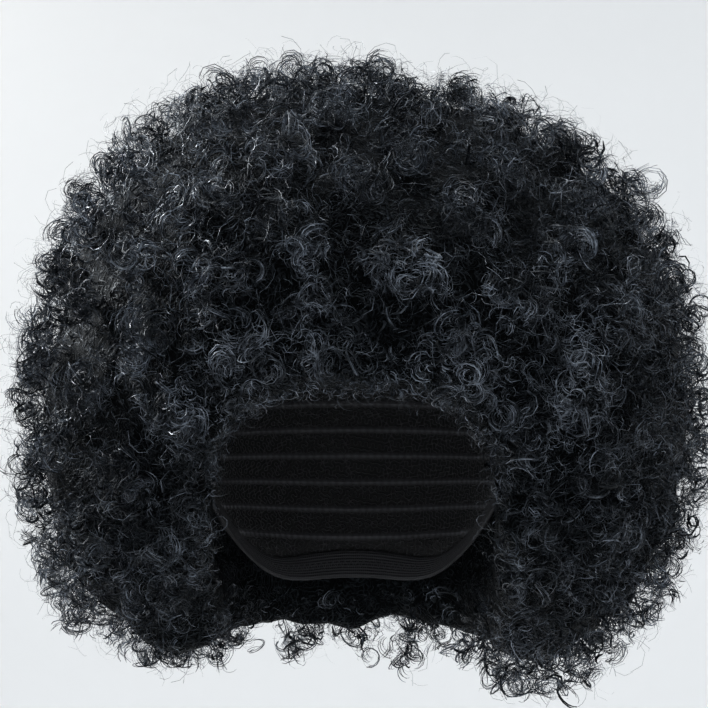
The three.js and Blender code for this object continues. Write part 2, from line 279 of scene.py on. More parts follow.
class Finish:
    """A material in the making, with one Principled shader."""

    def __init__(self, name, **sockets):
        self.material = bpy.data.materials.new(name)
        self.material.use_nodes = True
        self.tree = self.material.node_tree
        self.shader = self.tree.nodes["Principled BSDF"]
        self.give(**sockets)

    def plug(self, socket, value):
        """Links a value to a socket, or sets the socket to a plain number, colour or vector."""
        if isinstance(value, Value):
            self.tree.links.new(value.socket, socket)
        else:
            socket.default_value = value

    def add(self, kind, settings=None, sockets=None, output=0):
        """A node of a type, with its settings, then the values or links of its sockets."""
        node = self.tree.nodes.new(kind)
        for key, value in (settings or {}).items():
            setattr(node, key, value)
        for key, value in (sockets or {}).items():
            self.plug(node.inputs[key], value)
        return Value(self, node.outputs[output])

    def give(self, **sockets):
        """Feeds sockets of the shader."""
        for socket, value in sockets.items():
            self.plug(self.shader.inputs[socket.replace("_", " ")], value)
        return self.material

    def place(self):
        """Object coordinates, which are metres in the frame."""
        return self.add("ShaderNodeTexCoord", output="Object")

    def noise(self, place, scale, detail, output="Fac"):
        """Soft noise of a scale per metre."""
        sockets = {"Vector": place, "Scale": scale, "Detail": detail}
        return self.add("ShaderNodeTexNoise", None, sockets, output)

    def toned(self, factor, colour, dark, light):
        """A colour that goes from dark to light times its own."""
        ends = [(*(min(1.0, part * times) for part in colour), 1.0) for times in (dark, light)]
        sockets = {"Factor": factor, 6: ends[0], 7: ends[1]}
        return self.add("ShaderNodeMix", {"data_type": "RGBA"}, sockets, 2)

    def vector(self, operation, *values):
        """A Vector Math node."""
        return self.add("ShaderNodeVectorMath", {"operation": operation}, dict(enumerate(values)))

    def parts(self, vector):
        """The three parts of a vector."""
        split = self.add("ShaderNodeSeparateXYZ", None, {"Vector": vector})
        return [Value(self, socket) for socket in split.socket.node.outputs]

    def bump(self, height, distance):
        """A normal from a height that runs from 0 to 1 over a distance."""
        return self.add("ShaderNodeBump", None, {"Height": height, "Distance": distance}, "Normal")


def rings_height(finish, place, cell, pitch, seed):
    """Height of thin fibres that lie in rings: the square of the upper half of a sine of the
    distance to the middle of the nearest cell of a 3-D Voronoi pattern, at one fibre for each
    pitch. Noise bends the rings and fades them in and out."""
    shifted = finish.vector("ADD", place, (0.13 * seed, 0.29 * seed, 0.17 * seed))
    wander = finish.noise(shifted, 130.0, 2.0, "Color")
    stray = finish.vector("SUBTRACT", wander, (0.5, 0.5, 0.5))
    bent = finish.vector("MULTIPLY_ADD", stray, (0.010, 0.010, 0.010), shifted)
    near = finish.add(
        "ShaderNodeTexVoronoi", {"feature": "F1"},
        {"Vector": bent, "Scale": 1.0 / cell, "Randomness": 1.0}, "Distance")
    wave = (near * (FULL_TURN * cell / pitch)).maths("SINE").maths("MAXIMUM", 0.0)
    fade = ((finish.noise(shifted, 150.0, 1.0) - 0.42) * 7.0).within(0.0, 1.0)
    return wave * wave * fade


def fibre_finish(colours):
    """Curled fibre: near black, with a brightness for each fibre that carries painted light and shade, a
    cloudy change over the clumps, and painted glints, short bright spots that stand in for highlights along
    the fibres and lighten the colour. A coat gives the gloss, so that only the fibres that are lit shine."""
    finish = Finish("curled_fibre", IOR=1.55, Specular_IOR_Level=0.10, Specular_Tint=COOL_GLOSS,
                    Coat_Roughness=0.26, Coat_IOR=1.60)
    tone_and_painted_light = finish.add("ShaderNodeAttribute", {"attribute_name": "tone_and_painted_light"}, None, "Fac")
    place = finish.place()
    cloud = ((finish.noise(place, CLOUD_SCALE, 2.0) - 0.34) * 3.6).within(0.12, 1.5)
    # Painted glints: noise that lightens short spots of the fibres' colour, as highlights
    painted_glint = ((finish.noise(place, PAINTED_GLINT_SCALE, 1.0) - 0.38) * 4.0).within(0.0, 1.0)
    lit = (tone_and_painted_light * cloud * (0.35 + painted_glint)).maths("MINIMUM", 1.0)
    colour = finish.toned(lit, colours.fibre, 0.15, 13.0)
    return finish.give(Base_Color=colour, Roughness=0.50 - tone_and_painted_light * 0.15, Coat_Weight=lit)


def packed_finish(colours):
    """Packed fibre between the curls: three layers of ringed fibres that cross one another, in bump and
    brightness, and near black between them. The whole is a colour far darker than the curled fibre's, as
    painted shade of the depth between the curls."""
    finish = Finish("packed_fibre", IOR=1.45, Specular_IOR_Level=0.06, Specular_Tint=COOL_GLOSS)
    place = finish.place()
    layers = [rings_height(finish, place, cell, pitch, seed)
              for cell, pitch, seed in ((0.013, 0.0019, 0), (0.009, 0.0016, 1), (0.018, 0.0022, 2))]
    height = layers[0].maths("MAXIMUM", layers[1]).maths("MAXIMUM", layers[2])
    cloud = finish.noise(place, 70.0, 2.0)
    # Painted shade: the packed colour keeps the depth between the curls near black
    colour = finish.toned(height * (0.2 + cloud), colours.packed, 0.12, 5.0)
    return finish.give(Base_Color=colour, Roughness=0.75 - height * 0.35,
                       Normal=finish.bump(height, 0.0012))


def net_finish(colours):
    """Stretch net of the cap: threads where a gyroid of the pitch of the mesh nears zero, and
    denser rows, at even angles down the cap, where the hair is sewn on."""
    finish = Finish("stretch_net", IOR=1.45)
    place = finish.place()
    turned = finish.add("ShaderNodeMapping", None, {"Vector": place, "Rotation": (0.6, 0.4, 0.8)})
    wave = finish.vector("SCALE", turned)
    wave.socket.node.inputs["Scale"].default_value = FULL_TURN / NET_PITCH
    x, y, z = finish.parts(wave)
    gyroid = (x.maths("SINE") * y.maths("COSINE") + y.maths("SINE") * z.maths("COSINE")
              + z.maths("SINE") * x.maths("COSINE"))
    thread = 1.0 - (gyroid.maths("ABSOLUTE") * 1.3).maths("MINIMUM", 1.0)
    east, north, up = finish.parts(place)
    flat = (east * east + north * north).maths("SQRT")
    down = flat.maths("ARCTAN2", up - HOLLOW_MIDDLE)
    row = ((down * (1.0 / SEWN_ROW_ANGLE)).maths("FRACT") - 0.5).maths("ABSOLUTE")
    sewn = (1.0 - row * 6.0).maths("MAXIMUM", 0.0)
    turn = east.maths("ARCTAN2", north)
    stitch = (turn * SEWN_STITCHES).wave()
    height = (thread * 0.55).maths("MAXIMUM", sewn * (0.6 + stitch * 0.4))
    colour = finish.toned(height, colours.net, 0.25, 7.0)
    return finish.give(Base_Color=colour, Roughness=0.8 - height * 0.15,
                       Normal=finish.bump(height, 0.0008))


def elastic_finish(colours):
    """Elastic hem: fine ribs along the band and a zigzag of stitches that holds it, from the
    band's own UV map, whose X runs along it in metres and Y across it from 0 to 1."""
    finish = Finish("elastic_band", IOR=1.45)
    along, across, _ = finish.parts(finish.add("ShaderNodeUVMap", {"uv_map": "band"}))
    ribs = (across * (FULL_TURN * HEM_RIBS)).wave()
    knit = (along * (FULL_TURN / KNIT_PITCH)).wave()
    swing = ((along / ZIGZAG_PITCH).maths("FRACT") - 0.5).maths("ABSOLUTE") * 0.5
    off = (across - 0.38 - swing).maths("ABSOLUTE")
    stitch = (1.0 - off * 22.0).maths("MAXIMUM", 0.0)
    height = (ribs * 0.5 + knit * 0.15).maths("MAXIMUM", stitch)
    colour = finish.toned(height, colours.elastic, 0.45, 3.6)
    return finish.give(Base_Color=colour, Roughness=0.75 - height * 0.2,
                       Normal=finish.bump(height, 0.0005))


# Surfaces


def unit(vectors):
    """Vectors of length 1."""
    return vectors / np.maximum(np.linalg.norm(vectors, axis=-1, keepdims=True), 1e-12)


def dot(first, second):
    """Dot products along the last axis, which is kept."""
    return (first * second).sum(-1, keepdims=True)


def mesh_object(name, points, faces, material, uvs=None):
    """An object in the frame from points and a list of face arrays, one array for each number
    of corners, with a UV place for each corner if given."""
    mesh = bpy.data.meshes.new(name)
    mesh.vertices.add(len(points))
    mesh.vertices.foreach_set("co", np.ascontiguousarray(points, dtype=np.float32).ravel())
    corners = np.concatenate([part.ravel() for part in faces])
    sizes = np.concatenate([np.full(len(part), part.shape[1]) for part in faces])
    mesh.loops.add(len(corners))
    mesh.loops.foreach_set("vertex_index", corners.astype(np.int32))
    mesh.polygons.add(len(sizes))
    mesh.polygons.foreach_set("loop_start", (np.cumsum(sizes) - sizes).astype(np.int32))
    mesh.update(calc_edges=True)
    mesh.shade_smooth()
    mesh.materials.append(material)
    if uvs is not None:
        layer = mesh.uv_layers.new(name="band")
        layer.data.foreach_set("uv", np.ascontiguousarray(uvs, dtype=np.float32).ravel())
    piece = bpy.data.objects.new(name, mesh)
    bpy.context.scene.collection.objects.link(piece)
    return piece


def strand_object(name, points, faces, tones_and_painted_light, material):
    """An object of strands whose points are an array of strands, steps, sides and places."""
    piece = mesh_object(name, points.reshape(-1, 3), faces, material)
    # Each strand's brightness, with its painted light and shade, goes to the shader as a point attribute
    layer = piece.data.attributes.new("tone_and_painted_light", "FLOAT", "POINT")
    layer.data.foreach_set("value", np.repeat(tones_and_painted_light, points[0].size // 3).astype(np.float32))
    return piece


def tubes(name, paths, sideways, widths, tones_and_painted_light, material):
    """Strands as thin closed tubes. A point of a strand is its path's point plus its radius times
    cos a along the sideways direction plus its radius times sin a across both, for three angles
    a, and each end is closed by one triangle."""
    count, steps = paths.shape[:2]
    along = unit(np.gradient(paths, axis=1))
    first = unit(sideways - dot(sideways, along) * along)
    second = np.cross(along, first)
    angles = FULL_TURN * np.arange(TUBE_SIDES)[:, None] / TUBE_SIDES
    spread = np.cos(angles) * first[:, :, None] + np.sin(angles) * second[:, :, None]
    points = paths[:, :, None] + widths[:, :, None, None] * spread
    index = np.arange(count * steps * TUBE_SIDES).reshape(count, steps, TUBE_SIDES)
    near = index[:, :-1]
    far = index[:, 1:]
    sides = np.stack((near, np.roll(near, -1, 2), np.roll(far, -1, 2), far), -1).reshape(-1, 4)
    ends = np.concatenate((index[:, 0, ::-1], index[:, -1]))
    return strand_object(name, points, [sides, ends], tones_and_painted_light, material)


def ribbons(name, paths, sideways, widths, tones_and_painted_light, material):
    """Fine fibres as thin ribbons. The edges of a ribbon lie at its path's point plus and minus
    its half width times the sideways direction, square to the path. Their normals lean apart by
    the rounding times that direction, so that a ribbon shades as a round fibre does."""
    count, steps = paths.shape[:2]
    along = unit(np.gradient(paths, axis=1))
    first = unit(sideways - dot(sideways, along) * along)
    outward = unit(paths.mean(1) - (0.0, 0.0, HOLLOW_MIDDLE))
    faces_in = dot(np.cross(along, first).mean(1), outward) < 0.0
    first = np.where(faces_in[:, None], -first, first)
    second = np.cross(along, first)
    edges = np.array((1.0, -1.0))[:, None]
    points = paths[:, :, None] + widths[:, :, None, None] * edges * first[:, :, None]
    normals = unit(second[:, :, None] + ROUNDING * edges * first[:, :, None])
    index = np.arange(count * steps * 2).reshape(count, steps, 2)
    quads = np.stack((index[:, :-1, 0], index[:, :-1, 1], index[:, 1:, 1], index[:, 1:, 0]), -1)
    piece = strand_object(name, points, [quads.reshape(-1, 4)], tones_and_painted_light, material)
    piece.data.normals_split_custom_set_from_vertices(normals.reshape(-1, 3))
    return piece


def coils(roots, axes, start, radius, turns, depth, rise, steps, flat=0.3):
    """Paths of coils. At share s of its length a coil stands at its root, plus the rise s along
    its axis from a depth below the skin, plus its radius times (cos a, sin a) across the axis,
    where a grows by the turns and the radius shrinks by the share flat."""
    share = np.linspace(0.0, 1.0, steps)[None, :]
    helper = np.where(np.abs(axes[:, 2:3]) < 0.9, (0.0, 0.0, 1.0), (1.0, 0.0, 0.0))
    across = unit(np.cross(axes, helper))
    upward = np.cross(axes, across)
    angle = start[:, None] + FULL_TURN * turns[:, None] * share
    reach = radius[:, None] * (1.0 - flat * share ** 2)
    lift = -depth[:, None] + rise[:, None] * share
    outward = (np.cos(angle)[..., None] * across[:, None] + np.sin(angle)[..., None] * upward[:, None])
    paths = roots[:, None] + lift[..., None] * axes[:, None] + reach[..., None] * outward
    return paths, outward


def hollow_gap(points):
    """How far points lie outside the hollow under the cap: (f - 1) times a mean radius, where f is
    the length of a point measured in the half sizes of the hollow."""
    tall = np.where(points[:, 2] < HOLLOW_MIDDLE, NAPE_TAPER, CROWN_HEIGHT)
    scaled = np.stack((points[:, 0] / HOLLOW_HALF_WIDTH, points[:, 1] / HOLLOW_HALF_LENGTH,
                       (points[:, 2] - HOLLOW_MIDDLE) / tall), -1)
    mean = (HOLLOW_HALF_WIDTH + HOLLOW_HALF_LENGTH) / 2.0
    return (np.linalg.norm(scaled, axis=1) - 1.0) * mean


def lower_gap(points):
    """How far points lie outside the oval lower hollow, which runs down from the middle of the
    upper one. Above that it is taken as far."""
    middle = (LOWER_BACK - LOWER_FRONT) / 2.0
    half = (LOWER_BACK + LOWER_FRONT) / 2.0
    scaled = np.hypot(points[:, 0] / LOWER_HALF_WIDTH, (points[:, 1] - middle) / half)
    return np.where(points[:, 2] < HOLLOW_MIDDLE, (scaled - 1.0) * LOWER_HALF_WIDTH, 1.0)


def eased(low, high, value):
    """0 up to low, 1 from high, and a smooth step between."""
    share = np.clip((value - low) / (high - low), 0.0, 1.0)
    return share * share * (3.0 - 2.0 * share)


def threes(items, key, kind):
    """One property of the items of a mesh, as rows of three."""
    values = np.empty(len(items) * 3, dtype=kind)
    items.foreach_get(key, values)
    return values.reshape(-1, 3)


def triangles_of(mesh):
    """The corners of the triangles of a mesh."""
    mesh.calc_loop_triangles()
    return threes(mesh.loop_triangles, "vertices", np.int32)


def merged_copy(name, nodes):
    """One object with the merged meshes of CAD nodes."""
    points = []
    faces = []
    total = 0
    for node in nodes:
        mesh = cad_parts[node].data
        points.append(threes(mesh.vertices, "co", np.float32))
        faces.append(triangles_of(mesh) + total)
        total += len(mesh.vertices)
    points = np.concatenate(points)
    faces = np.concatenate(faces)
    keys = np.round(points * 1e5).astype(np.int64)
    _, firsts, where = np.unique(keys, axis=0, return_index=True, return_inverse=True)
    faces = where.ravel()[faces]
    whole = (faces != np.roll(faces, 1, axis=1)).all(1)
    return mesh_object(name, points[firsts], [faces[whole]], None)


def modify(piece, kind, **settings):
    """Makes the result of a modifier an object's mesh."""
    modifier = piece.modifiers.new("Shaping", kind)
    for key, value in settings.items():
        setattr(modifier, key, value)
    made = bpy.data.meshes.new_from_object(
        piece.evaluated_get(bpy.context.evaluated_depsgraph_get()))
    old = piece.data
    piece.modifiers.clear()
    piece.data = made
    made.name = piece.name
    bpy.data.meshes.remove(old)


def remesh(piece, voxel):
    """Gives a closed object even faces of one size, and melts bodies that touch into one."""
    modify(piece, "REMESH", mode="VOXEL", voxel_size=voxel, use_smooth_shade=True)


def soften(piece, rounds):
    """Evens out the small relief of an object."""
    modify(piece, "SMOOTH", factor=0.5, iterations=rounds)


def face_outwards(piece):
    """Turns all faces of a closed object outwards."""
    shape = bmesh.new()
    shape.from_mesh(piece.data)
    bmesh.ops.recalc_face_normals(shape, faces=shape.faces)
    shape.to_mesh(piece.data)
    shape.free()
    piece.data.update()


def mesh_arrays(piece):
    """Points, normals and triangles of an object."""
    mesh = piece.data
    return (threes(mesh.vertices, "co", np.float32).astype(float),
            threes(mesh.vertex_normals, "vector", np.float32).astype(float), triangles_of(mesh))


def move_points(piece, points):
    """Gives the points of an object new places."""
    piece.data.vertices.foreach_set("co", points.astype(np.float32).ravel())
    piece.data.update()


def lumps(points, spacing, seed):
    """Rounded lumps from 0 to 1: one less the distance to the nearest of many scattered middles,
    as a share of their spacing."""
    rng = np.random.default_rng(seed)
    low = np.floor(points.min(0) / spacing).astype(int) - 1
    cells = np.floor(points / spacing).astype(int) - low
    shape = cells.max(0) + 2
    middles = rng.random((*shape, 3))
    best = np.full(len(points), 9.0)
    local = points / spacing - low
    for step in np.ndindex(3, 3, 3):
        cell = cells + np.array(step) - 1
        cell = np.clip(cell, 0, shape - 1)
        spot = cell + middles[cell[:, 0], cell[:, 1], cell[:, 2]]
        best = np.minimum(best, np.linalg.norm(local - spot, axis=1))
    return np.clip(1.0 - best, 0.0, 1.0)


def outline_shift(points):
    """How far the fibres stand out at points, by their angle seen from the front."""
    raised = points[:, 2] - OUTLINE_MIDDLE
    turn = np.degrees(np.arctan2(raised, points[:, 0]))
    shift = np.interp(turn, OUTLINE_ANGLES, OUTLINE_SHIFTS, period=360.0)
    return shift * eased(0.05, 0.13, np.hypot(points[:, 0], raised)) * room_for(points)


class Skin:
    """The outer skin of the hair over all its tiers, on which curls are rooted. Its relief runs
    from 0 in a valley to 1 on a crest. It is half how far a place stands out of the skin's own
    smoothed form, and half the rounded lumps into which the curls clump."""

    def __init__(self):
        piece = merged_copy("skin", TIERS)
        remesh(piece, SKIN_MESH_SIZE)
        self.points, normals, self.triangles = mesh_arrays(piece)
        soften(piece, 70)
        broad = mesh_arrays(piece)[0]
        bpy.data.objects.remove(piece)
        corners = self.points[self.triangles]
        self.middles = corners.mean(1)
        self.outward = unit(normals[self.triangles].mean(1))
        stands = ((self.points - broad) * normals).sum(1)[self.triangles].mean(1)
        self.open = ((hollow_gap(self.middles) > HOLLOW_CLEARANCE)
                     & (lower_gap(self.middles) > -LOWER_OVERLAP))
        low, high = np.percentile(stands[self.open], (12, 82))
        clumps = eased(0.22, 0.62, lumps(self.middles, CLUMP_SPACING, 12))
        self.relief = 0.5 * eased(low, high, stands) + 0.5 * clumps

    def roots(self, spacing, seed, valley_share):
        """Even places on the open skin: one triangle for each cell of a grid, by a seeded draw,
        with only a share of them kept in the valleys and next to the lower hollow. Returns the places,
        the directions outward, the relief, the tier and the room of each."""
        rng = np.random.default_rng(seed)
        chosen = np.flatnonzero(self.open)
        rng.shuffle(chosen)
        spots = self.middles[chosen] / spacing + rng.random(3)
        _, firsts = np.unique(np.floor(spots).astype(int), axis=0, return_index=True)
        chosen = chosen[firsts]
        relief = self.relief[chosen]
        seen = 0.45 + 0.55 * eased(0.002, 0.012, lower_gap(self.middles[chosen]))
        chosen = chosen[rng.random(len(chosen)) < seen * (valley_share + (1.0 - valley_share) * relief)]
        shares = rng.dirichlet((1.0, 1.0, 1.0), len(chosen))
        places = (self.points[self.triangles[chosen]] * shares[..., None]).sum(1)
        outward = self.outward[chosen]
        relief = self.relief[chosen]
        stands = outline_shift(places) + CLUMP_HEIGHT * (relief - 0.6) * room_for(places)
        spots = places + outward * stands[:, None]
        return spots, outward, relief, tier_of(places), room_for(spots)


def tier_of(points):
    """The number of the tier that points belong to, by the cones and the wedge that part the
    tiers in the CAD model."""
    level = np.degrees(np.arctan2(points[:, 2] - HOLLOW_MIDDLE, np.hypot(points[:, 0], points[:, 1])))
    aside = np.degrees(np.arctan2(np.abs(points[:, 0]), -points[:, 1]))
    conditions = [level > 53.0, level > 34.0, (level > 0.0) & (aside < 50.0), level > 13.0, level > -11.0]
    return np.select(conditions, [0, 1, 2, 3, 4], 5)


def room_for(places):
    """How much a strand may stand out, from 0 next to the hollow to 1 in the open."""
    room = np.minimum(eased(0.004, 0.022, hollow_gap(places)), 0.25 + 0.75 * eased(
        0.0, 0.012, lower_gap(places)))
    facing = (places[:, 1] < 0.0) & (places[:, 2] < -0.05)
    beside = eased(0.0, 0.014, np.abs(places[:, 0]) - FRONT_HALF_WIDTH)
    return np.where(facing, np.minimum(room, 0.35 + 0.65 * beside), room)


def tilted(outward, rng, least, most):
    """Directions that lean away from given ones by an angle between two, any way round."""
    helper = unit(rng.normal(size=outward.shape))
    across = unit(np.cross(outward, helper))
    lean = rng.uniform(least, most, (len(outward), 1))
    return unit(outward * np.cos(lean) + across * np.sin(lean))


def either_way(rng, count):
    """1 or -1 at random."""
    return np.where(rng.random(count) < 0.5, -1.0, 1.0)


def turned(sideways, axes, slope):
    """Sideways directions turned by a slope towards the axes of their coils."""
    slope = slope[:, None, None]
    return np.cos(slope) * sideways + np.sin(slope) * axes[:, None]


def tapered(steps, share):
    """Widths along a strand: 1 less a share of the fourth power of the way from its middle."""
    return 1.0 - share * np.linspace(-1.0, 1.0, steps)[None, :] ** 4


def bundled(fibres, rng, scatter):
    """For bundles of so many fibres each: the bundle of every fibre, and its place across the
    bundle counted in fibres from the middle, with some scatter."""
    many = np.repeat(np.arange(len(fibres)), fibres)
    number = np.arange(len(many)) - np.repeat(np.cumsum(fibres) - fibres, fibres)
    return many, number - 0.5 * fibres[many] + rng.normal(size=len(many)) * scatter


def front_reach(points):
    """How far points lie from the middle of the front opening, as a share of its size seen from
    the front: the cube root of |x / a|^3 + |(z - c) / b|^3, and 9 behind it."""
    x, y, z = np.moveaxis(points, -1, 0)
    above = np.maximum(z - FRONT_OPENING[1], 0.0) / FRONT_OPENING[2]
    return np.where(y < FRONT_DEPTH, np.cbrt((np.abs(x) / FRONT_OPENING[0]) ** 3 + above ** 3), 9.0)


def inside_margin(paths, margin, hanging):
    """Which paths keep inside the CAD box grown by a margin, and clear of the front
    opening, into which they hang by no more than a share of its size that is drawn for each."""
    low = np.array(CAD_BOX[0]) - margin
    high = np.array(CAD_BOX[1]) + margin
    inside = ((paths > low) & (paths < high)).all((1, 2))
    spare = np.random.default_rng(len(paths)).random(len(paths)) ** 2
    return inside & (1.0 - front_reach(paths).min(1) < 0.01 + hanging * spare)


SHARED = {}


def skin():
    """The skin of the hair, worked out once."""
    if "skin" not in SHARED:
        SHARED["skin"] = Skin()
    return SHARED["skin"]


def material(name, make):
    """A finish by name, made once."""
    if name not in SHARED:
        SHARED[name] = make(bpy.context.scene.wig_colours)
    return SHARED[name]


def settle(piece, slot, *nodes):
    """Says what a finished piece moves with and which nodes it stands for, and hides those nodes. The slot
    is not used.
    """
    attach(piece, BODY)
    if nodes:
        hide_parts(*nodes)


def by_tier(suffix, tiers, make, parts, hanging=0.07):
    """One piece of strands for each tier that has any inside the margin. The parts are the paths, the
    sideways directions, the widths and the brightness of the strands, which the gain of each tier raises as
    painted light."""
    kept = inside_margin(parts[0], bpy.context.scene.wig_sizes.outline_margin, hanging)
    for number, tier in enumerate(TIERS):
        own = kept & (tiers == number)
        if own.any():
            *shapes, tones_and_painted_light = (part[own] for part in parts)
            # Painted light: the tier's gain brightens its fibres
            tones_and_painted_light = np.minimum(tones_and_painted_light * TIER_PAINTED_LIGHT[number], 1.0)
            settle(make(tier + suffix, *shapes, tones_and_painted_light, material("fibre", fibre_finish)), "fibre")


class WIG_OT_packed_fibre(bpy.types.Operator):
    """Packs the fibre under the curls of each tier of hair"""

    bl_idname = "wig.packed_fibre"
    bl_label = "Packed Fibre"

    def execute(self, context):
        sizes = context.scene.wig_sizes
        inner = merged_copy("packed_skin", TIERS)
        remesh(inner, sizes.voxel)
        soften(inner, 6)
        for _ in range(INSET_ROUNDS):
            points, normals, _ = mesh_arrays(inner)
            hanging = 1.0 - 0.82 * (1.0 - eased(*NAPE_EDGE, points[:, 2]))
            inset = (sizes.packed_depth - outline_shift(points)) / INSET_ROUNDS
            move_points(inner, points - normals * (room_for(points) * hanging * inset)[:, None])
            remesh(inner, sizes.voxel)
            soften(inner, 2)
        points, normals, _ = mesh_arrays(inner)
        relief = LUMP_HEIGHT * (lumps(points, LUMP_SPACING, 11) - 0.5)
        relief = relief * eased(0.0015, 0.012, hollow_gap(points))
        move_points(inner, points + normals * relief[:, None])
        for tier in TIERS:
            piece = merged_copy(tier + "_packed", [tier])
            remesh(piece, sizes.voxel)
            modify(piece, "SHRINKWRAP", wrap_method="NEAREST_SURFACEPOINT", wrap_mode="INSIDE",
                   target=inner)
            points = mesh_arrays(piece)[0]
            reach = np.minimum(front_reach(points), 1.0)
            points[:, 0] /= reach
            above = np.maximum(points[:, 2] - FRONT_OPENING[1], 0.0)
            points[:, 2] += above / reach - above
            move_points(piece, points)
            piece.data.materials.clear()
            piece.data.materials.append(material("packed", packed_finish))
            piece.data.shade_smooth()
            settle(piece, "fibre", tier)
        bpy.data.objects.remove(inner)
        return {"FINISHED"}


class WIG_OT_curls(bpy.types.Operator):
    """Roots the curls all over the hair, as locks of fibres that turn side by side"""

    bl_idname = "wig.curls"
    bl_label = "Curls"

    def execute(self, context):
        sizes = context.scene.wig_sizes
        rng = np.random.default_rng(21)
        places, outward, relief, tiers, room = skin().roots(sizes.curl_spacing, 22, 0.45)
        lean = tilted(outward, rng, 0.1, 0.75)
        aside = tilted(outward, rng, 0.95, 1.45)
        axes = np.where(rng.random((len(places), 1)) < 0.3, aside, lean)
        low = 1.0 - eased(-0.17, -0.11, places[:, 2])
        axes = unit(axes - np.array((0.0, 0.0, 0.7)) * low[:, None])
        size = sizes.curl_radius * rng.uniform(0.5, 1.2, len(places)) * (0.85 + 0.3 * relief)
        sense = either_way(rng, len(places))

        curl = np.repeat(np.arange(len(places)), sizes.curl_locks)
        locks = len(curl)
        places, axes, relief, tiers, room, low, size, sense = (
            part[curl] for part in (places, axes, relief, tiers, room, low, size, sense))
        axes = unit(axes + rng.normal(size=(locks, 3)) * (0.34 - 0.26 * relief)[:, None])
        start = rng.uniform(0.0, FULL_TURN, locks)
        turns = sizes.curl_turns * rng.uniform(0.5, 1.15, locks) * sense
        shift = rng.normal(size=(locks, 3)) * 0.0009
        radius = size * rng.uniform(0.6, 1.1, locks)
        depth = (0.0120 + rng.uniform(-0.002, 0.0015, locks)) * room - 0.0012 * (1.0 - room)
        depth = depth - 0.0045 * low * room
        rise = (0.0085 * room * (0.55 + 0.6 * relief) + 0.001) * rng.uniform(0.7, 1.25, locks)
        slope = rng.uniform(-0.6, 1.0, locks)

        many, offset = bundled(sizes.lock_fibres + rng.integers(-1, 2, locks), rng, 0.25)
        total = len(many)
        offset = offset * sizes.fibre_pitch
        lift = rng.normal(size=total) * 0.0004
        paths, sideways = coils(
            places[many] + shift[many] + rng.normal(size=(total, 3)) * 0.00025,
            axes[many], start[many] + rng.normal(size=total) * 0.25,
            np.maximum(radius[many] + offset, 0.0012), turns[many] * rng.uniform(0.8, 1.1, total),
            depth[many] + lift, rise[many] * rng.uniform(0.85, 1.15, total), CURL_STEPS)
        sideways = turned(sideways, axes[many], slope[many] + rng.normal(size=total) * 0.35)
        wide = sizes.fibre_width * rng.uniform(0.6, 1.3, (total, 1)) * tapered(CURL_STEPS, 0.55)
        # Painted light and shade: the brightness grows with the relief, darker in the valleys and lighter
        # on the crests of the clumps
        tones_and_painted_light = rng.beta(0.8, 2.0, total) * (0.3 + 1.3 * relief[many])
        tones_and_painted_light = tones_and_painted_light * rng.uniform(0.5, 1.4, locks)[many]
        by_tier("_curls", tiers[many], ribbons, (paths, sideways, wide, tones_and_painted_light))
        return {"FINISHED"}


class WIG_OT_under_curls(bpy.types.Operator):
    """Fills the depth between the packed fibre and the curls with short locks, kept dark as painted shade
    of that depth
    """

    bl_idname = "wig.under_curls"
    bl_label = "Under Curls"

    def execute(self, context):
        sizes = context.scene.wig_sizes
        rng = np.random.default_rng(51)
        places, outward, _, tiers, room = skin().roots(sizes.under_spacing, 52, 0.85)
        count = len(places)
        axes = tilted(outward, rng, 0.6, 1.5)
        radius = rng.uniform(0.0028, 0.0062, count) * (0.4 + 0.6 * room)
        turns = rng.uniform(0.3, 0.62, count) * either_way(rng, count)
        lift = rng.uniform(-0.0105, -0.0030, count) * room
        paths, sideways = coils(
            places + outward * lift[:, None], axes, rng.uniform(0.0, FULL_TURN, count), radius, turns,
            np.zeros(count), rng.uniform(-0.002, 0.002, count), UNDER_STEPS, SHORT_NARROWING)
        sideways = turned(sideways, axes, rng.uniform(-1.2, 1.2, count))
        wide = sizes.under_width * rng.uniform(0.6, 1.3, (count, 1)) * tapered(UNDER_STEPS, 0.7)
        # Painted shade: the locks deep under the curls are kept far darker than the curls
        by_tier("_locks", tiers, ribbons, (paths, sideways, wide, 0.3 * rng.beta(0.8, 2.5, count)))
        return {"FINISHED"}


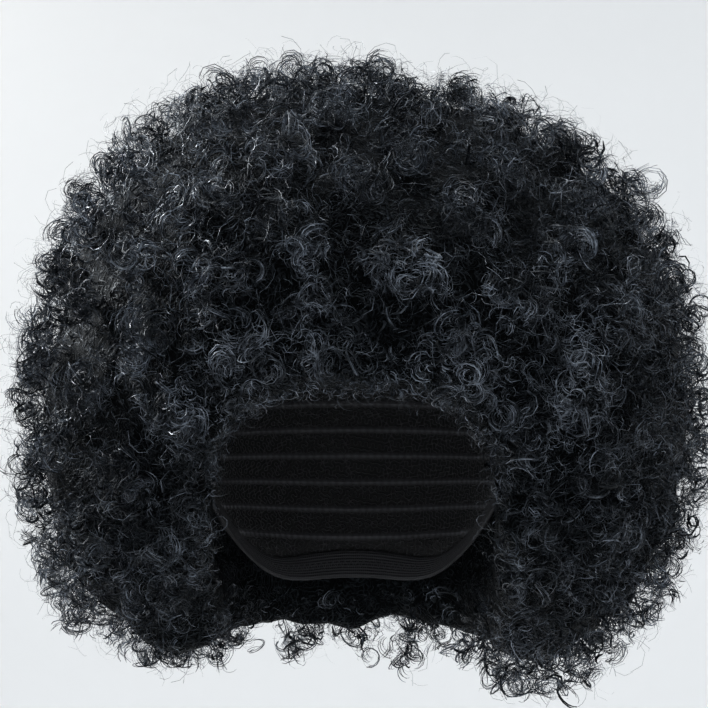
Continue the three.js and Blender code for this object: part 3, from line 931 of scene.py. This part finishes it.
class WIG_OT_frizz(bpy.types.Operator):
    """Spreads small tufts of short fibres, and fine loose ones, over the curls and their outline"""

    bl_idname = "wig.frizz"
    bl_label = "Frizz"

    def execute(self, context):
        sizes = context.scene.wig_sizes
        rng = np.random.default_rng(31)
        places, outward, relief, tiers, room = skin().roots(sizes.tuft_spacing, 33, 0.6)
        tufts = len(places)
        axes = tilted(outward, rng, 0.1, 1.2)
        radius = rng.uniform(0.0020, 0.0060, tufts) * (0.5 + 0.5 * room)
        turns = rng.uniform(0.20, 0.46, tufts) * either_way(rng, tufts)
        lift = rng.uniform(-0.0120, 0.0, tufts) * room + 0.0014 * (1.0 - room)
        start = rng.uniform(0.0, FULL_TURN, tufts)
        many, offset = bundled(rng.integers(2, 7, tufts), rng, 0.3)
        total = len(many)
        offset = offset * sizes.fibre_pitch * 1.15
        paths, sideways = coils(
            (places + outward * lift[:, None])[many] + rng.normal(size=(total, 3)) * 0.0005,
            unit(axes[many] + rng.normal(size=(total, 3)) * 0.12),
            start[many] + rng.normal(size=total) * 0.3, np.maximum(radius[many] + offset, 0.0010),
            turns[many] * rng.uniform(0.75, 1.2, total), np.zeros(total),
            rng.uniform(-0.002, 0.003, total), TUFT_STEPS, SHORT_NARROWING)
        sideways = turned(sideways, axes[many], rng.uniform(-0.9, 0.9, total))
        wide = sizes.fibre_width * rng.uniform(0.45, 1.15, (total, 1)) * tapered(TUFT_STEPS, 0.6)
        # Painted light and shade: the brightness grows with the relief, darker in the valleys and lighter
        # on the crests of the clumps
        tones_and_painted_light = rng.beta(0.8, 1.6, total) * (0.3 + 1.1 * relief[many])
        by_tier("_tufts", tiers[many], ribbons, (paths, sideways, wide, tones_and_painted_light))

        places, outward, _, tiers, room = skin().roots(sizes.frizz_spacing, 32, 0.7)
        count = len(places)
        axes = tilted(outward, rng, 0.5, 1.57)
        radius = rng.uniform(0.003, 0.0085, count)
        turns = rng.uniform(0.22, 0.58, count) * either_way(rng, count)
        lift = rng.uniform(-0.008, 0.0065, count) * room + 0.0014 * (1.0 - room)
        rise = rng.uniform(-0.003, 0.004, count)
        start = rng.uniform(0.0, FULL_TURN, count)
        paths, sideways = coils(
            places + outward * lift[:, None], axes, start, radius * (0.4 + 0.6 * room), turns,
            np.zeros(count), rise, FRIZZ_STEPS, SHORT_NARROWING)
        sideways = turned(sideways, axes, rng.uniform(-1.4, 1.4, count))
        wide = sizes.frizz_width * rng.uniform(0.6, 1.3, (count, 1)) * np.linspace(1.0, 0.6, FRIZZ_STEPS)
        by_tier("_frizz", tiers, ribbons, (paths, sideways, wide, rng.uniform(0.2, 1.0, count)))
        return {"FINISHED"}


class WIG_OT_stray_curls(bpy.types.Operator):
    """Lets single loops stand out of the outline and fine wisps hang over the hairline"""

    bl_idname = "wig.stray_curls"
    bl_label = "Stray Curls"

    def execute(self, context):
        sizes = context.scene.wig_sizes
        rng = np.random.default_rng(41)
        sparse = skin().roots(0.042, 42, 0.5)
        dense = skin().roots(0.022, 44, 0.7)
        places, outward, _, tiers, room = (np.concatenate(pair) for pair in zip(sparse, dense))
        rim = (places[:, 2] < -0.135) & (outward[:, 2] < 0.1)
        first = np.arange(len(places)) < len(sparse[0])
        open_air = (room > 0.9) & (first | rim)
        places, outward, tiers = places[open_air], outward[open_air], tiers[open_air]
        loops = len(places)
        axes = tilted(outward, rng, 0.9, 1.57)
        radius = rng.uniform(0.0036, 0.0070, loops)
        start = rng.uniform(0.0, 6.28, loops)
        turns = rng.uniform(0.7, 1.25, loops)
        rise = rng.uniform(-0.004, 0.004, loops)
        many = np.repeat(np.arange(loops), rng.integers(2, 6, loops))
        count = len(many)
        paths, sideways = coils(
            places[many] + rng.normal(size=(count, 3)) * 0.0003,
            unit(axes[many] + rng.normal(size=(count, 3)) * 0.05),
            start[many] + rng.normal(size=count) * 0.15, radius[many] + rng.normal(size=count) * 0.0003,
            turns[many] * rng.uniform(0.85, 1.1, count), 0.3 * radius[many], rise[many], LOOP_STEPS)
        thick = sizes.loop_radius * rng.uniform(0.6, 1.3, (count, 1)) * np.linspace(1.0, 0.6, LOOP_STEPS)
        by_tier("_loops", tiers[many], tubes, (paths, sideways, thick, rng.beta(0.8, 2.4, count)))

        places, outward, _, tiers, _ = skin().roots(0.0050, 43, 1.0)
        hairline = ((np.abs(places[:, 0]) < 0.075) & (places[:, 1] < -0.07) & (places[:, 2] > -0.14)
                    & (places[:, 2] < -0.055) & (outward[:, 1] > -0.75))
        places, outward, tiers = places[hairline], outward[hairline], tiers[hairline]
        count = len(places)
        drop = unit(outward * 0.5 - np.array((0.0, 0.25, 0.75)) + rng.normal(size=(count, 3)) * 0.35)
        paths, sideways = coils(
            places, drop, rng.uniform(0.0, 6.28, count), rng.uniform(0.0015, 0.0045, count),
            rng.uniform(0.5, 1.3, count), np.full(count, 0.002), rng.uniform(0.003, 0.010, count),
            WISP_STEPS)
        wide = sizes.frizz_width * rng.uniform(1.0, 2.0, (count, 1)) * np.linspace(1.0, 0.5, WISP_STEPS)
        by_tier("_wisps", tiers, ribbons, (paths, sideways, wide, rng.uniform(0.0, 0.5, count)), 0.35)
        return {"FINISHED"}


def hem_line():
    """Places behind the middle of the hollow and their drops along the hem line: a Catmull-Rom
    spline through its points, as in the CAD."""
    knots = np.stack((np.array(HEM_BEHIND) * HOLLOW_HALF_LENGTH, HEM_DROP), -1)
    padded = np.concatenate((knots[:1], knots, knots[-1:]))
    share = np.linspace(0.0, 1.0, 13)[:-1, None]
    runs = []
    for before, start, end, after in zip(padded, padded[1:], padded[2:], padded[3:]):
        leave = (end - before) / 2.0
        arrive = (after - start) / 2.0
        runs.append((2.0 * start - 2.0 * end + leave + arrive) * share ** 3
                    + (-3.0 * start + 3.0 * end - 2.0 * leave - arrive) * share ** 2
                    + leave * share + start)
    line = np.concatenate(runs + [knots[-1:]])
    return line[:, 0], line[:, 1]


def hollow_point(turn, down, grown):
    """A point of the hollow grown by a distance. Turn runs round it from the front, and down
    runs from its crown: (half width sin down sin turn, -half length sin down cos turn, tall cos down)."""
    tall = np.where(np.cos(down) < 0.0, NAPE_TAPER, CROWN_HEIGHT) + grown
    return np.stack(np.broadcast_arrays(
        (HOLLOW_HALF_WIDTH + grown) * np.sin(down) * np.sin(turn),
        -(HOLLOW_HALF_LENGTH + grown) * np.sin(down) * np.cos(turn),
        HOLLOW_MIDDLE + tall * np.cos(down)), -1)


def hem_angle(turn, raised, grown):
    """How far down from the crown the hem line lies, when it is raised by a distance, for each
    turn round the hollow: the first of many angles at which its surface is under the line."""
    down = np.linspace(0.3, 2.75, 1600)
    spots = hollow_point(turn[:, None], down[None, :], grown)
    behind, drops = hem_line()
    under = spots[..., 2] < raised - np.interp(spots[..., 1], behind, drops)
    return down[np.argmax(under, axis=1)]


def ring_faces(rows, columns, closed_rows=False):
    """Four-cornered faces of a grid that closes round its columns, and round its rows if asked,
    and the row and column of each corner before it is wrapped."""
    last = rows if closed_rows else rows - 1
    row, column = np.meshgrid(np.arange(last), np.arange(columns), indexing="ij")
    corner_rows = np.stack((row, row, row + 1, row + 1), -1).reshape(-1, 4)
    corner_columns = np.stack((column, column + 1, column + 1, column), -1).reshape(-1, 4)
    faces = (corner_rows % rows) * columns + corner_columns % columns
    return faces, corner_rows, corner_columns


class WIG_OT_net_cap(bpy.types.Operator):
    """Knits the stretch net cap as a smooth thin shell down to the hem"""

    bl_idname = "wig.net_cap"
    bl_label = "Net Cap"

    def execute(self, context):
        columns = 112
        rows = 26
        turn = FULL_TURN * np.arange(columns) / columns
        share = np.linspace(0.02, 1.0, rows)[:, None]
        outer_end = hem_angle(turn, HEM_WIDTH + SEAM_GAP, CAP_THICKNESS)
        inner_end = hem_angle(turn, HEM_WIDTH + SEAM_GAP, 0.0)
        outer = hollow_point(turn[None, :], share * outer_end, CAP_THICKNESS)
        inner = hollow_point(turn[None, :], share * inner_end, 0.0)
        shell = np.concatenate((outer, inner[::-1]))
        faces, _, _ = ring_faces(2 * rows, columns)
        poles = np.array(((0.0, 0.0, CAP_THICKNESS), (0.0, 0.0, 0.0)))
        points = np.concatenate((shell.reshape(-1, 3), poles))
        here = np.arange(columns)
        ahead = (here + 1) % columns
        first = shell.shape[0] * columns
        top = np.stack((np.full(columns, first), ahead, here), -1)
        last = (2 * rows - 1) * columns
        under = np.stack((np.full(columns, first + 1), last + here, last + ahead), -1)
        piece = mesh_object("net_cap_knit", points, [faces[:, ::-1], np.concatenate((top, under))[:, ::-1]],
                            material("net", net_finish))
        face_outwards(piece)
        settle(piece, "net", "net_cap")
        return {"FINISHED"}


class WIG_OT_hem_band(bpy.types.Operator):
    """Sews the ribbed elastic hem round the edge of the cap"""

    bl_idname = "wig.hem_band"
    bl_label = "Elastic Hem"

    def execute(self, context):
        columns = 220
        turn = FULL_TURN * np.arange(columns) / columns
        around = np.linspace(0.0, FULL_TURN, 17)[:-1]
        corner = 0.35
        across = 0.5 - 0.5 * np.sign(np.cos(around)) * np.abs(np.cos(around)) ** corner
        through = 0.5 + 0.5 * np.sign(np.sin(around)) * np.abs(np.sin(around)) ** corner
        inside = CAP_THICKNESS - HEM_THICKNESS
        top = hem_angle(turn, HEM_WIDTH, CAP_THICKNESS)
        bottom = hem_angle(turn, 0.0, CAP_THICKNESS)
        down = top + across[:, None] * (bottom - top)
        grown = inside + through[:, None] * HEM_THICKNESS
        points = hollow_point(turn[None, :], down, grown)
        faces, corner_rows, corner_columns = ring_faces(len(around), columns, True)
        ring = points[0]
        lengths = np.linalg.norm(np.roll(ring, -1, 0) - ring, axis=1)
        reached = np.concatenate(([0.0], np.cumsum(lengths)))
        uvs = np.stack((reached[corner_columns], across[corner_rows % len(around)]), -1)
        piece = mesh_object("hem_elastic", points.reshape(-1, 3), [faces],
                            material("elastic", elastic_finish), uvs.reshape(-1, 2))
        face_outwards(piece)
        settle(piece, "elastic", "hem_band")
        return {"FINISHED"}


class WIG_OT_studio(bpy.types.Operator):
    """Sets up the pale floor and backdrop, the soft lights and the camera"""

    bl_idname = "wig.studio"
    bl_label = "Studio"

    def execute(self, context):
        stage = context.scene.wig_stage
        scene = context.scene
        scene.view_settings.view_transform = "Standard"
        world = bpy.data.worlds.new("room")
        world.use_nodes = True
        sky = world.node_tree.nodes["Background"]
        sky.inputs["Color"].default_value = (0.95, 0.975, 1.0, 1.0)
        sky.inputs["Strength"].default_value = stage.sky_strength
        scene.world = world
        self.backdrop(stage)
        self.light("key_light", (-1.6, 0.95, 0.8), 0.5, stage.key_power)
        self.light("right_light", (1.5, 0.3, 0.75), 0.6, 0.055 * stage.key_power)
        self.light("front_light", (0.15, -1.5, 1.25), 0.8, stage.fill_power)
        self.light("top_light", (0.1, 0.3, 1.5), 0.7, stage.top_power)
        self.light("backdrop_light", (-1.1, 1.9, 0.7), 0.5, stage.backdrop_power, (-0.9, 2.6, -0.1),
                   (1.0, 0.99, 0.96))
        camera = bpy.data.objects.new("camera", bpy.data.cameras.new("camera"))
        scene.collection.objects.link(camera)
        camera.data.angle = stage.camera_field
        tilt = stage.camera_elevation
        distance = stage.camera_distance
        camera.location = (0.0, -distance * math.cos(tilt), stage.aim_level + distance * math.sin(tilt))
        camera.rotation_euler = (math.pi / 2.0 - tilt, 0.0, 0.0)
        scene.camera = camera
        return {"FINISHED"}

    def light(self, name, spot, size, power, target=(0.0, 0.0, -0.06), colour=LIGHT_COLOUR):
        """A square area light that faces a target."""
        data = bpy.data.lights.new(name, "AREA")
        data.size = size
        data.energy = power
        data.color = colour
        lamp = bpy.data.objects.new(name, data)
        bpy.context.scene.collection.objects.link(lamp)
        lamp.location = spot
        lamp.visible_camera = False
        away = np.array(spot) - np.array(target)
        flat = math.hypot(away[0], away[1])
        lamp.rotation_euler = (math.atan2(flat, away[2]), 0.0, math.atan2(away[0], -away[1]))

    def backdrop(self, stage):
        """Floor and wall in one sweep. Seen from the side it is a level line, a quarter circle and
        an upright line, turned about the vertical axis."""
        corner = np.linspace(0.0, math.pi / 2.0, 13)
        foot = stage.backdrop_radius - SWEEP_RADIUS
        radii = np.concatenate(([0.01, 0.6, 1.2], foot + SWEEP_RADIUS * np.sin(corner),
                                [stage.backdrop_radius]))
        levels = np.concatenate(([0.0, 0.0, 0.0], SWEEP_RADIUS * (1.0 - np.cos(corner)), [WALL_HEIGHT]))
        angles = np.linspace(0.0, FULL_TURN, BACKDROP_SIDES + 1)[:-1]
        points = np.stack((radii[:, None] * np.cos(angles), radii[:, None] * np.sin(angles),
                           stage.floor_level + levels[:, None] + 0.0 * angles), -1)
        index = np.arange(points.shape[0] * BACKDROP_SIDES).reshape(-1, BACKDROP_SIDES)
        quads = np.stack((index[:-1], np.roll(index[:-1], -1, 1), np.roll(index[1:], -1, 1), index[1:]), -1)
        finish = Finish("backdrop_paper", Roughness=0.9)
        spread = finish.noise(finish.place(), 3.0, 1.0)
        finish.give(Base_Color=finish.toned(spread, BACKDROP_COLOUR, 1.0, 1.017))
        piece = mesh_object("backdrop", points.reshape(-1, 3), [quads.reshape(-1, 4), index[:1]],
                            finish.material)


OPERATORS = (WIG_OT_net_cap, WIG_OT_hem_band, WIG_OT_packed_fibre, WIG_OT_under_curls, WIG_OT_curls,
             WIG_OT_frizz, WIG_OT_stray_curls, WIG_OT_studio)


class WIG_PT_pieces(bpy.types.Panel):
    """Pieces of the wig and their sizes and colours"""

    bl_idname = "WIG_PT_pieces"
    bl_label = "Curly Wig"
    bl_space_type = "VIEW_3D"
    bl_region_type = "UI"
    bl_category = "Wig"

    def draw(self, context):
        for operator in OPERATORS:
            self.layout.operator(operator.bl_idname)
        for group in (context.scene.wig_sizes, context.scene.wig_colours, context.scene.wig_stage):
            box = self.layout.box()
            for name in type(group).__annotations__:
                box.prop(group, name)


GROUPS = {"wig_sizes": WigSizes, "wig_colours": WigColours, "wig_stage": WigStage}
CLASSES = (*GROUPS.values(), *OPERATORS, WIG_PT_pieces)


def register():
    for each in CLASSES:
        bpy.utils.register_class(each)
    for name, group in GROUPS.items():
        setattr(bpy.types.Scene, name, bpy.props.PointerProperty(type=group))


def unregister():
    for name in GROUPS:
        delattr(bpy.types.Scene, name)
    for each in reversed(CLASSES):
        bpy.utils.unregister_class(each)


def main():
    register()
    for operator in OPERATORS:
        getattr(bpy.ops.wig, operator.bl_idname.split(".")[1])()


if __name__ == "__main__":
    main()
